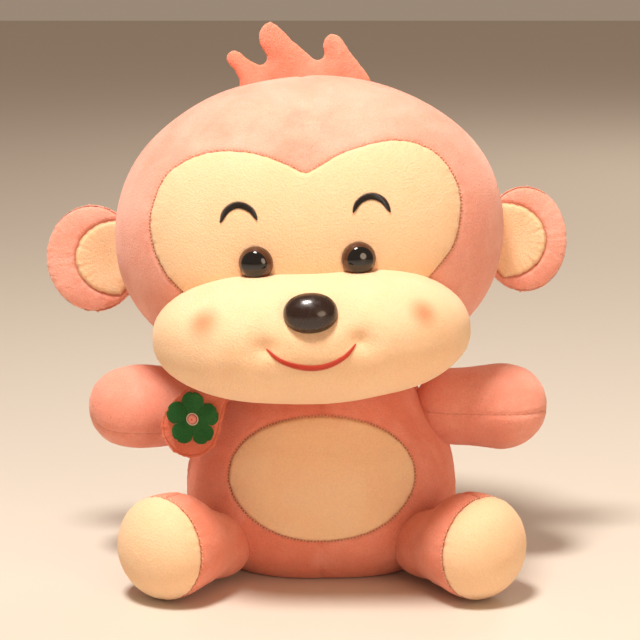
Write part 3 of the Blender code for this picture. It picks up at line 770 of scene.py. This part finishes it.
def satin_band(name, line, half_width, surface, pitch, material):
    """Threads across a band that follows the line (rows of x, z) on a surface."""
    run = run_along(line)
    stops = np.arange(pitch / 2, run[-1], pitch)
    flat = np.stack([np.interp(stops, run, line[:, k]) for k in (0, 1)], 1)
    ahead = np.gradient(flat, axis=0)
    ahead /= np.linalg.norm(ahead, axis=1)[:, None]
    side = np.stack([-ahead[:, 1], ahead[:, 0]], 1) + 0.30 * ahead
    t = 2 * stops / run[-1] - 1
    half = half_width * np.sqrt(np.maximum(0.05, 1 - np.abs(t) ** 2.4))
    low = surface(flat[:, 0] - side[:, 0] * half, flat[:, 1] - side[:, 1] * half)
    high = surface(flat[:, 0] + side[:, 0] * half, flat[:, 1] + side[:, 1] * half)
    middle = (low + high) / 2 + np.array((0, -0.0003, 0))
    up = np.tile((0.0, -1.0, 0.1), (len(middle), 1))
    return stitches(name, middle, high - low, up, np.linalg.norm(high - low, axis=1) / 2,
                    pitch * 0.62, 0.0007, material)


for side, sign in (("left", 1), ("right", -1)):
    brow_x, brow_z = (0.0382, 0.0018) if sign > 0 else (0.0405, 0.0)
    brow = round_through([(sign * (brow_x + dx), dz + brow_z)
                          for dx, dz in ((-0.0108, 0.0190), (-0.0072, 0.0250), (0, 0.0280),
                                         (0.0072, 0.0250), (0.0113, 0.0180))], 30, False)
    band = satin_band(f"brow_threads_{side}", brow, 0.0023, face_front, 0.00055, black_thread)
    place(band, HEAD_TURN)
    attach(band, "head")
    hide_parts(f"brow_{side}")

smile = round_through([(-0.0262, -0.0502), (-0.0190, -0.0566), (-0.0095, -0.0610),
                       (0.0005, -0.0625), (0.0100, -0.0610), (0.0190, -0.0562),
                       (0.0252, -0.0496)], 30, False)
mouth = satin_band("mouth_threads", smile, 0.0019, muzzle_front, 0.00055, red_thread)
place(mouth, HEAD_TURN)
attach(mouth, "head")
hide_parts("mouth_stitches")


def zigzag(name, rim, surface, turn, body, material, pitch=0.0021, half=0.00115):
    """Slanting stitches, each way in turn, that hold a patch's edge down."""
    loop = closed(rim)
    line = surface(loop[:, 0], loop[:, 1])
    run = run_along(line)
    count = int(run[-1] / pitch)
    stops = (np.arange(count) + 0.5) * run[-1] / count
    middle = np.stack([np.interp(stops, run, line[:, k]) for k in range(3)], 1)
    ahead = np.stack([np.interp(stops + 5e-4, run, line[:, k]) for k in range(3)], 1) - middle
    ahead /= np.linalg.norm(ahead, axis=1)[:, None]
    inner = line.mean(0) - middle
    out = np.cross(ahead, inner)
    out /= np.linalg.norm(out, axis=1)[:, None]
    out *= -np.sign((out @ np.array((0, 1.0, 0)))[:, None] + 1e-9)
    side = np.cross(out, ahead)
    swing = np.where(np.arange(count) % 2, 0.75, -0.75)[:, None]
    made = stitches(name, middle - out * 0.00045, side + ahead * swing, out,
                    np.full(count, half), 0.00024, 0.00030, material)
    place(made, turn)
    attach(made, body)
    return made


zigzag("face_edge_stitches", outline, head_front, HEAD_TURN, "head", cream_thread)

# ---------------------------------------------------------------------------
# Ears: two flat pillows of pink plush with a cream disc let into the front, sewn
# round the edge, turned, lightly filled and set into the side seam of the head.
# ---------------------------------------------------------------------------
EAR_SIZES = {"left": (0.0275, 0.0345, 0.1395), "right": (0.0305, 0.0350, 0.1420)}
EAR_Y, EAR_Z = 0.018, -0.0145
EAR_DISC = (0.126, 0.0270, 0.0245)


def flat_pillow(name, cuts, reach, half_thick):
    """A ball flattened to a pillow whose outline, in X and Z, is reach(angle)."""
    made = cloth_ball(name, cuts)
    unit = read_points(made.data)
    across = np.hypot(unit[:, 0], unit[:, 2])
    angle = np.arctan2(unit[:, 2], unit[:, 0])
    form = np.stack([across * reach(angle) * np.cos(angle), unit[:, 1] * half_thick,
                     across * reach(angle) * np.sin(angle)], 1)
    write_points(made.data, form)
    return made


def oval(half_x, half_z):
    """The radius of an oval as a function of the angle."""
    return lambda a: 1 / np.sqrt((np.cos(a) / half_x) ** 2 + (np.sin(a) / half_z) ** 2)


for side, sign in (("left", 1), ("right", -1)):
    half_x, half_z, ear_x = EAR_SIZES[side]
    ear = flat_pillow(f"ear_plush_{side}", 42, oval(half_x, half_z), 0.0072)
    fill_with_fibre(ear, 4.0, 0.0045)
    finer_mesh(ear)
    form = read_points(ear.data)
    bowl = np.hypot((form[:, 0] + sign * 0.010) / 0.020, form[:, 2] / 0.024)
    form[:, 1] += 0.0042 * np.exp(-bowl ** 2) * (form[:, 1] < 0)
    form[:, 1] -= 0.0016 * np.abs(form[:, 0] * sign / half_x).clip(0, 1) ** 2
    write_points(ear.data, form)
    ear_front = front_of(ear)
    around = all_round(240)
    disc = np.stack([sign * (EAR_DISC[0] - ear_x) + EAR_DISC[1] * np.cos(around),
                     EAR_DISC[2] * np.sin(around)], 1)
    inside = ((disc[:, 0] / half_x) ** 2 + (disc[:, 1] / half_z) ** 2) < 0.80
    squeeze = np.sqrt(0.80 / np.maximum((disc[:, 0] / half_x) ** 2
                                        + (disc[:, 1] / half_z) ** 2, 1e-9))
    disc = np.where(inside[:, None], disc, disc * squeeze[:, None])
    disc_line = ear_front(disc[:, 0], disc[:, 1])
    edge = np.linspace(0, 2 * math.pi, 400)
    edge_line = np.stack([half_x * np.cos(edge), 0 * edge, half_z * np.sin(edge)], 1)
    pull_seams(ear, [closed(disc_line)], seed=40 + sign)
    pull_seams(ear, [edge_line], depth=0.0009, pucker=0.0004, seed=44 + sign, faint=0.0014)
    ear_turn = HEAD_TURN @ Matrix.Translation((sign * ear_x, EAR_Y, EAR_Z))
    place(ear, ear_turn)
    soft_shade(ear, pink_plush)
    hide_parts(f"ear_cover_{side}", f"ear_padding_{side}")
    lining = sewn_patch(f"ear_lining_{side}", disc, ear_front, cream_plush, rings=20,
                        puff=0.0006, centre=disc.mean(0), seed=50 + sign)
    place(lining, ear_turn)
    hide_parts(f"ear_inner_{side}")
    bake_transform(ear)
    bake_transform(lining)

# ---------------------------------------------------------------------------
# Hair tuft: a small crown of three curling lobes, two layers of pink plush sewn
# round the edge, turned and filled, with its root caught in the crown seam.
# ---------------------------------------------------------------------------
TUFT_LINE = [(0.0, -9.0), (43.0, -12.0), (44.5, -4.5), (41.7, 2.2), (34.0, 13.6), (27.5, 24.6),
             (22.0, 28.4), (16.4, 26.2), (13.6, 20.4), (14.2, 14.4), (10.6, 12.2), (5.2, 16.8),
             (-3.4, 24.4), (-12.0, 33.2), (-18.6, 37.9), (-25.6, 33.2), (-27.8, 25.6),
             (-25.4, 19.4), (-23.2, 13.8), (-26.0, 10.6), (-32.4, 13.2), (-39.4, 18.4),
             (-44.7, 19.9), (-49.2, 16.0), (-48.2, 10.6), (-44.0, 5.0), (-41.0, -3.0),
             (-42.0, -12.0)]

tuft_rim = round_through(np.array(TUFT_LINE) / 1000, 5)
bpy.ops.object.select_all(action="DESELECT")
bpy.ops.mesh.primitive_circle_add(vertices=len(tuft_rim), radius=1.0, fill_type="NGON")
tuft = bpy.context.object
tuft.name = tuft.data.name = "tuft_plush"
flat = np.zeros((len(tuft_rim), 3))
flat[:, 0], flat[:, 2] = tuft_rim[:, 0], tuft_rim[:, 1]
write_points(tuft.data, flat)
bpy.ops.object.mode_set(mode="EDIT")
bpy.ops.mesh.select_all(action="SELECT")
bpy.ops.mesh.quads_convert_to_tris()
bpy.ops.mesh.extrude_region_move(TRANSFORM_OT_translate={"value": (0, 0.0064, 0)})
bpy.ops.mesh.select_all(action="SELECT")
bpy.ops.transform.translate(value=(0, -0.0032, 0))
bpy.ops.mesh.normals_make_consistent(inside=False)
bpy.ops.object.mode_set(mode="OBJECT")
apply_step(tuft, "REMESH", mode="VOXEL", voxel_size=0.0014)
apply_step(tuft, "SMOOTH", factor=0.5, iterations=10)
near, along = seam_distance(read_points(tuft.data), closed(flat))
fill_with_fibre(tuft, 5.0, 0.0075)
apply_step(tuft, "SMOOTH", factor=0.5, iterations=8)
form, normals = read_points(tuft.data), outward(tuft.data)
sink = -0.0012 * np.exp(-(near / 0.0030) ** 2) \
    + 0.0003 * wander(along, 61, 0.009) * np.exp(-(near / 0.007) ** 1.5)
write_points(tuft.data, form + normals * sink[:, None])
keep_seam(tuft, near + 0.0013)
finer_mesh(tuft)
place(tuft, HEAD_TURN @ Matrix.Translation((0, 0, HEAD_HALF[2])))
# The tuft takes the pink plush darkened with painted shade.
soft_shade(tuft, shaded_pink_plush)
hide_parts("tuft_front", "tuft_back", "tuft_stuffing")
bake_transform(tuft)

# ---------------------------------------------------------------------------
# Body: two pink front panels and a back, sewn down the middle and the sides,
# filled firm and gathered into the head at the neck.  A cream oval is let in.
# ---------------------------------------------------------------------------
BODY_HALF = np.array((0.0885, 0.0690, 0.0660))
BODY_Z = 0.0525
NECK_AT = np.array((-0.002, -0.004, 0.121))
SIDE_SEAM_Y = -0.012
BELLY_HALF = (0.0590, 0.0385)
BELLY_Z = 0.0680


body = cloth_ball("body_plush", 84)
unit = boxed(read_points(body.data), 0.84)
form = unit * BODY_HALF
form[:, 0] *= 0.985 + 0.025 * smooth_step(-form[:, 2], -0.02, 0.03)
form[:, 1] -= 0.006 * smooth_step(-form[:, 2], -0.01, 0.04) * (form[:, 1] < 0)
form[:, 2] += BODY_Z
off_neck = np.hypot(form[:, 0] - NECK_AT[0], form[:, 1] - NECK_AT[1])
rise = 0.021 * (1 - smooth_step(off_neck, 0.036, 0.090)) * smooth_step(form[:, 2], 0.085, 0.108)
form[:, 2] += rise
write_points(body.data, form)
form = form + outward(body.data) * (0.0013 * lumps(form, 0.060, 12))[:, None]
form[:, 2] = np.maximum(form[:, 2], 0.0002)
write_points(body.data, form)
body_front = front_of(body)
around = all_round(420)
belly_rim = np.stack([BELLY_HALF[0] * np.cos(around), BELLY_Z + BELLY_HALF[1] * np.sin(around)], 1)
belly_line = body_front(belly_rim[:, 0], belly_rim[:, 1])
below_belly, above_belly = np.linspace(0.0015, 0.0300, 120), np.linspace(0.1050, 0.1250, 80)
front_low = body_front(0 * below_belly, below_belly)
front_high = body_front(0 * above_belly, above_belly)
side_points = read_points(body.data)
ring = side_points[np.abs(side_points[:, 1] - SIDE_SEAM_Y) < 0.0012]
spin = np.argsort(np.arctan2(ring[:, 2] - 0.06, ring[:, 0]))
side_line = ring[spin]
side_line[:, 1] = SIDE_SEAM_Y
pull_seams(body, [closed(belly_line), front_low, front_high,
                  side_line], depth=0.0014, seed=70)
# The body takes the pink plush darkened with painted shade.
soft_shade(body, shaded_pink_plush)
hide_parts("torso_front_left", "torso_front_right", "torso_back", "torso_stuffing")
belly = sewn_patch("belly_plush", belly_rim, body_front, cream_plush, rings=34,
                   centre=(0, BELLY_Z), seed=75)
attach(belly, "torso")
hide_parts("belly_patch")
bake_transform(body)
zigzag("belly_edge_stitches", belly_rim, body_front, Matrix.Identity(4), "torso",
               cream_thread)

# ---------------------------------------------------------------------------
# Arms: short mittens of pink plush in an upper and a lower half, filled and set
# into the body's side seams so that they stand straight out.
# ---------------------------------------------------------------------------
SHOULDER = (0.084, -0.010, 0.104)


def stuffed_limb(name, stops, radii, around=132, seed=1):
    """A limb along -Y from its root: a ball whose rings take the given radii."""
    made = round_ball(name, around, 84, (math.pi / 2, 0, 0))
    unit = read_points(made.data)
    share = np.arccos(np.clip(unit[:, 1], -1, 1)) / math.pi
    line = round_through(np.stack([stops, radii], 1), 40, False)
    run = run_along(line)
    at = np.interp(share * run[-1], run, line[:, 0])
    wide = np.maximum(np.interp(share * run[-1], run, line[:, 1]), 0)
    across = np.hypot(unit[:, 0], unit[:, 2])
    safe = np.maximum(across, 1e-9)
    write_points(made.data, np.stack([unit[:, 0] / safe * wide, -at,
                                      unit[:, 2] / safe * wide], 1))
    form = read_points(made.data)
    write_points(made.data, form + outward(made.data) * (0.0010 * lumps(form, 0.04, seed))[:, None])
    return made


def limb_line(made, direction, low, high):
    """The line on a limb's cloth that faces one way from its axis."""
    tree = surface_tree(made)
    rows = []
    for s in np.arange(low, high, 0.0008):
        hit = tree.ray_cast(Vector((direction[0], 0, direction[1])) * 0.2 + Vector((0, -s, 0)),
                            -Vector((direction[0], 0, direction[1])))
        if hit[0]:
            rows.append(tuple(hit[0]))
    return np.array(rows)


ARM_STOPS = [-0.0255, -0.0235, -0.0160, -0.0050, 0.0080, 0.0230, 0.0380, 0.0520, 0.0610, 0.0648,
             0.0660]
ARM_RADII = [0.0, 0.0085, 0.0190, 0.0240, 0.0256, 0.0272, 0.0277, 0.0240, 0.0160, 0.0075, 0.0]
for side, sign, dip, long in (("left", 1, 0.0, 0.94), ("right", -1, math.radians(30), 1.03)):
    stops = [at * (long if at > 0 else 1) for at in ARM_STOPS]
    radii = [wide * (0.98 if sign > 0 else 0.965) for wide in ARM_RADII]
    arm = stuffed_limb(f"arm_plush_{side}", stops, radii, seed=80 + sign)
    toward = np.array((-sign * math.cos(dip), -math.sin(dip)))
    front_seam = limb_line(arm, toward, -0.02, 0.0655)
    back_seam = limb_line(arm, -toward, -0.02, 0.0655)
    pull_seams(arm, [np.concatenate([front_seam, back_seam[::-1]])], depth=0.0009,
               pucker=0.0005, seed=90 + sign, faint=0.0007)
    place(arm, Matrix.Translation((sign * SHOULDER[0], SHOULDER[1], SHOULDER[2] - 0.0016))
          @ Matrix.Rotation(sign * math.pi / 2, 4, "Z"))
    # The arms take the pink plush darkened a little with painted shade.
    soft_shade(arm, arm_shaded_pink_plush)
    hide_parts(f"arm_upper_{side}", f"arm_lower_{side}", f"arm_stuffing_{side}")
    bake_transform(arm)

# ---------------------------------------------------------------------------
# Legs: short pink tubes in two halves that end in round feet, each closed by a
# domed cream sole.  They are set into the body's lower front corners.
# ---------------------------------------------------------------------------
HIP = (0.0700, -0.060, 0.0330)


FLOOR_GAP = 0.0001


def keep_off_floor(made, rest=FLOOR_GAP):
    """What rests on the floor lies flat on it, at its own small height."""
    points = read_points(made.data)
    points[:, 2] = np.maximum(points[:, 2], rest)
    write_points(made.data, points)


LEG_SPLAY = math.radians(38)
SOLE_S = 0.0440
SOLE_THICK = 0.0006

LEG_STOPS = [-0.0270, -0.0250, -0.0160, -0.0040, 0.0090, 0.0220, 0.0360, 0.0480, 0.0580, 0.0640,
             0.0665]
LEG_RADII = [0.0, 0.0090, 0.0190, 0.0220, 0.0245, 0.0295, 0.0322, 0.0306, 0.0236, 0.0130, 0.0]
for side, sign in (("left", 1), ("right", -1)):
    leg = stuffed_limb(f"leg_plush_{side}", LEG_STOPS, LEG_RADII, 150, seed=100 + sign)
    form = read_points(leg.data)
    form[:, 2] -= 0.010 * (1 - smooth_step(-form[:, 1], -0.010, 0.030))
    form[:, 2] = np.maximum(form[:, 2], -HIP[2] + 0.0002)
    write_points(leg.data, form)
    top = limb_line(leg, (0, 1), -0.02, SOLE_S)
    under = limb_line(leg, (0, -1), -0.02, SOLE_S)
    profile = round_through(np.stack([LEG_STOPS, LEG_RADII], 1), 40, False)
    limit = profile[profile[:, 0] >= SOLE_S]
    run = run_along(limit)
    cap = run[-1]

    def sole_at(x, z, limit=limit, run=run, cap=cap, leg=leg):
        share = np.hypot(x, z)
        s = np.interp((1 - share) * cap, run, limit[:, 0])
        wide = np.interp((1 - share) * cap, run, limit[:, 1])
        safe = np.maximum(share, 1e-9)
        rows = np.stack([x / safe * wide, -s, z / safe * wide], 1)
        rows[:, 2] = np.maximum(rows[:, 2], -HIP[2] + 0.0002)
        return rows

    around = all_round(260)
    sole_rim = np.stack([np.cos(around), np.sin(around)], 1)
    sole_line = sole_at(sole_rim[:, 0], sole_rim[:, 1])
    pull_seams(leg, [closed(sole_line), top, under], depth=0.0014,
               pucker=0.0006, seed=110 + sign, faint=0.0003)
    turn = Matrix.Translation((sign * HIP[0], HIP[1], HIP[2])) \
        @ Matrix.Rotation(sign * LEG_SPLAY, 4, "Z")
    place(leg, turn)
    keep_off_floor(leg, FLOOR_GAP + SOLE_THICK)
    # The legs take the pink plush darkened with painted shade.
    soft_shade(leg, shaded_pink_plush)
    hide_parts(f"leg_outer_{side}", f"leg_inner_{side}", f"leg_stuffing_{side}")
    sole = sewn_patch(f"sole_plush_{side}", sole_rim, sole_at, cream_plush, rings=30,
                      puff=0.0006, lift=0.0006, seed=115 + sign)
    place(sole, turn)
    keep_off_floor(sole)
    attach(sole, f"leg_{side}")
    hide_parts(f"sole_{side}")
    zigzag(f"sole_edge_stitches_{side}", sole_rim, sole_at, turn, f"leg_{side}",
                   cream_thread)
    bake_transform(leg)

# ---------------------------------------------------------------------------
# Flower tab: a small padded tongue of pink plush caught in the neck seam on the
# right side, with a five-petalled flower of green felt embroidered onto it.
# ---------------------------------------------------------------------------
TAB_W, TAB_L, TAB_T = 0.038, 0.0455, 0.0052
TAB_ROOT, TAB_BEND, TAB_HEM = 0.046, 0.005, 0.0018
TAB_TURN = Matrix.Translation((-0.0700, -0.0580, 0.1225)) @ Euler(
    (math.radians(-4), math.radians(28), math.radians(-14))).to_matrix().to_4x4()
TAB_MIDDLE = -(TAB_L - TAB_W / 2)
TO_NECK = TAB_TURN.to_3x3().inverted() @ Vector((0.040, 0.030, -0.003)).normalized()


def tongue(angle):
    """From the round end's middle: a circle below, narrowing to the root above."""
    straight = (TAB_L + TAB_ROOT - TAB_W / 2) / np.maximum(np.sin(angle), 1e-6)
    side = TAB_W / 2 * (1 - 0.30 * np.clip(np.sin(angle), 0, 1) ** 2) \
        / np.maximum(np.abs(np.cos(angle)), 1e-6)
    return np.where(angle > 0, np.minimum(straight, np.maximum(side, TAB_W / 2)), TAB_W / 2)


def to_neck_seam(points):
    """Turn the strip above the tongue inward, so that its end is in the neck seam."""
    steps = np.linspace(0, 0.060, 121)
    turned = smooth_step(steps, 0.0, 0.016)[:, None]
    ahead = (1 - turned) * np.array((0, 0, 1.0)) + turned * np.array(TO_NECK)
    ahead /= np.linalg.norm(ahead, axis=1)[:, None]
    path = np.concatenate([np.zeros((1, 3)), np.cumsum(ahead[:-1] * 0.0005, 0)])
    past = np.clip(points[:, 2] + TAB_BEND, 0, 0.059)
    centre = np.stack([np.interp(past, steps, path[:, k]) for k in range(3)], 1)
    forward = np.stack([np.interp(past, steps, ahead[:, k]) for k in range(3)], 1)
    across = np.array((1.0, 0, 0)) - forward * forward[:, :1]
    across /= np.linalg.norm(across, axis=1)[:, None]
    out = np.cross(forward, across)
    bent = centre + across * points[:, :1] + out * points[:, 1:2] - np.array((0, 0, TAB_BEND))
    return np.where(points[:, 2:3] > -TAB_BEND, bent, points)


tab = flat_pillow("tab_plush", 34, tongue, TAB_T / 2)
place(tab, Matrix.Translation((0, 0, TAB_MIDDLE)))
edge_angle = np.linspace(-math.pi, math.pi, 400)
tab_rim = np.stack([tongue(edge_angle) * np.cos(edge_angle), 0 * edge_angle,
                    tongue(edge_angle) * np.sin(edge_angle) + TAB_MIDDLE], 1)
near, along = seam_distance(read_points(tab.data), tab_rim)
fill_with_fibre(tab, 3.0, 0.0022)
form, normals = read_points(tab.data), outward(tab.data)
sink = -0.0006 * np.exp(-((near - TAB_HEM) / 0.0008) ** 2) \
    + 0.0005 * wander(along, 131, 0.006) * np.exp(-(near / 0.006) ** 1.5)
write_points(tab.data, form + normals * sink[:, None])
keep_seam(tab, np.abs(near - TAB_HEM) + 0.0007)
finer_mesh(tab)
tab_front = front_of(tab)
write_points(tab.data, to_neck_seam(read_points(tab.data)))
place(tab, TAB_TURN)
# Painted shade: the tab's pink is a much darker copy of the pink plush, standing in for the muzzle's
# shadow over it.
soft_shade(tab, plush_material("tab_shaded_pink_plush", (0.64, 0.165, 0.095), (0.74, 0.25, 0.17),
                               (0.32, 0.06, 0.03), 0.18, (1.0, 0.64, 0.54), 0.65))
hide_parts("tab_front", "tab_back")
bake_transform(tab)

green_felt = plush_material("green_felt", (0.020, 0.115, 0.030), (0.045, 0.190, 0.055),
                            (0.008, 0.05, 0.012), 0.12, (0.8, 1.0, 0.8), 0.5, 0.35)
FLOWER_R = 0.0172
FLOWER_AT = (-0.0005, TAB_MIDDLE + 0.0068)
around = all_round(300)
petal = 0.60 + 0.40 * np.abs(np.cos(2.5 * around)) ** 0.42 \
    - 0.045 * np.exp(-((np.abs(np.sin(2.5 * around))) / 0.16) ** 2)
spun = around + math.radians(-28)
petals = np.stack([FLOWER_R * petal * np.sin(spun), FLOWER_R * petal * np.cos(spun)], 1)


def felt_at(x, z):
    """Points of the felt, which lies on the tab and lifts towards its edge."""
    rows = tab_front(x, z)
    out = np.hypot(x - FLOWER_AT[0], z - FLOWER_AT[1]) / FLOWER_R
    rows[:, 1] = np.minimum(rows[:, 1], -0.0020) - 0.0009 - 0.0012 * np.clip(out, 0, 1) ** 2
    return rows


flower, turn_index, share = ring_grid("flower_felt", len(petals), 14)
flat = np.array(FLOWER_AT) + petals[turn_index] * share[:, None]
rows = felt_at(flat[:, 0], flat[:, 1])
spread = np.abs(np.cos(2.5 * around[turn_index]))
rows[:, 1] -= 0.0008 * share * spread - 0.0007 * (1 - spread) * share
write_points(flower.data, rows)
join_meeting_points()
bpy.ops.object.mode_set(mode="EDIT")
bpy.ops.mesh.normals_make_consistent(inside=False)
bpy.ops.object.mode_set(mode="OBJECT")
if outward(flower.data)[:, 1].sum() > 0:
    flower.data.flip_normals()
apply_step(flower, "SOLIDIFY", thickness=0.0014, offset=-1.0)
apply_step(flower, "BEVEL", width=0.00025, segments=2, limit_method="ANGLE")
keep_seam(flower, np.full(len(flower.data.vertices), NO_SEAM))
place(flower, TAB_TURN)
soft_shade(flower, green_felt)
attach(flower, "tab")
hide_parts("flower_petals")


def ring_stitches(name, radius, count, half, turn_across, material, rise):
    """Stitches round a ring at the middle of the flower, laid in or across it."""
    a = all_round(count)
    middle = felt_at(FLOWER_AT[0] + radius * np.cos(a), FLOWER_AT[1] + radius * np.sin(a))
    middle[:, 1] -= rise
    along = np.stack([-np.sin(a), 0 * a, np.cos(a)], 1)
    if turn_across:
        along = np.stack([np.cos(a), 0 * a, np.sin(a)], 1) + 0.25 * along
    made = stitches(name, middle, along, np.tile((0, -1.0, 0), (count, 1)),
                    np.full(count, half), 0.00034, 0.00045, material)
    place(made, TAB_TURN)
    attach(made, "tab")
    return made


heart = plastic_dome("flower_heart", (0.0030, 0.0010, 0.0030))
centre = felt_at(np.array([FLOWER_AT[0]]), np.array([FLOWER_AT[1]]))[0]
place(heart, TAB_TURN @ Matrix.Translation(centre + np.array((0, -0.0002, 0))))
soft_shade(heart, red_thread)
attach(heart, "tab")
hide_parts("flower_centre")
rose_thread = thread_material("rose_thread", (0.85, 0.30, 0.24), 0.1)
pale_thread = thread_material("pale_thread", (0.95, 0.66, 0.56), 0.1)
ring_stitches("flower_heart_threads", 0.0016, 26, 0.0015, True, rose_thread, 0.0009)
ring_stitches("flower_ring_threads", 0.0036, 40, 0.0008, False, pale_thread, 0.0002)
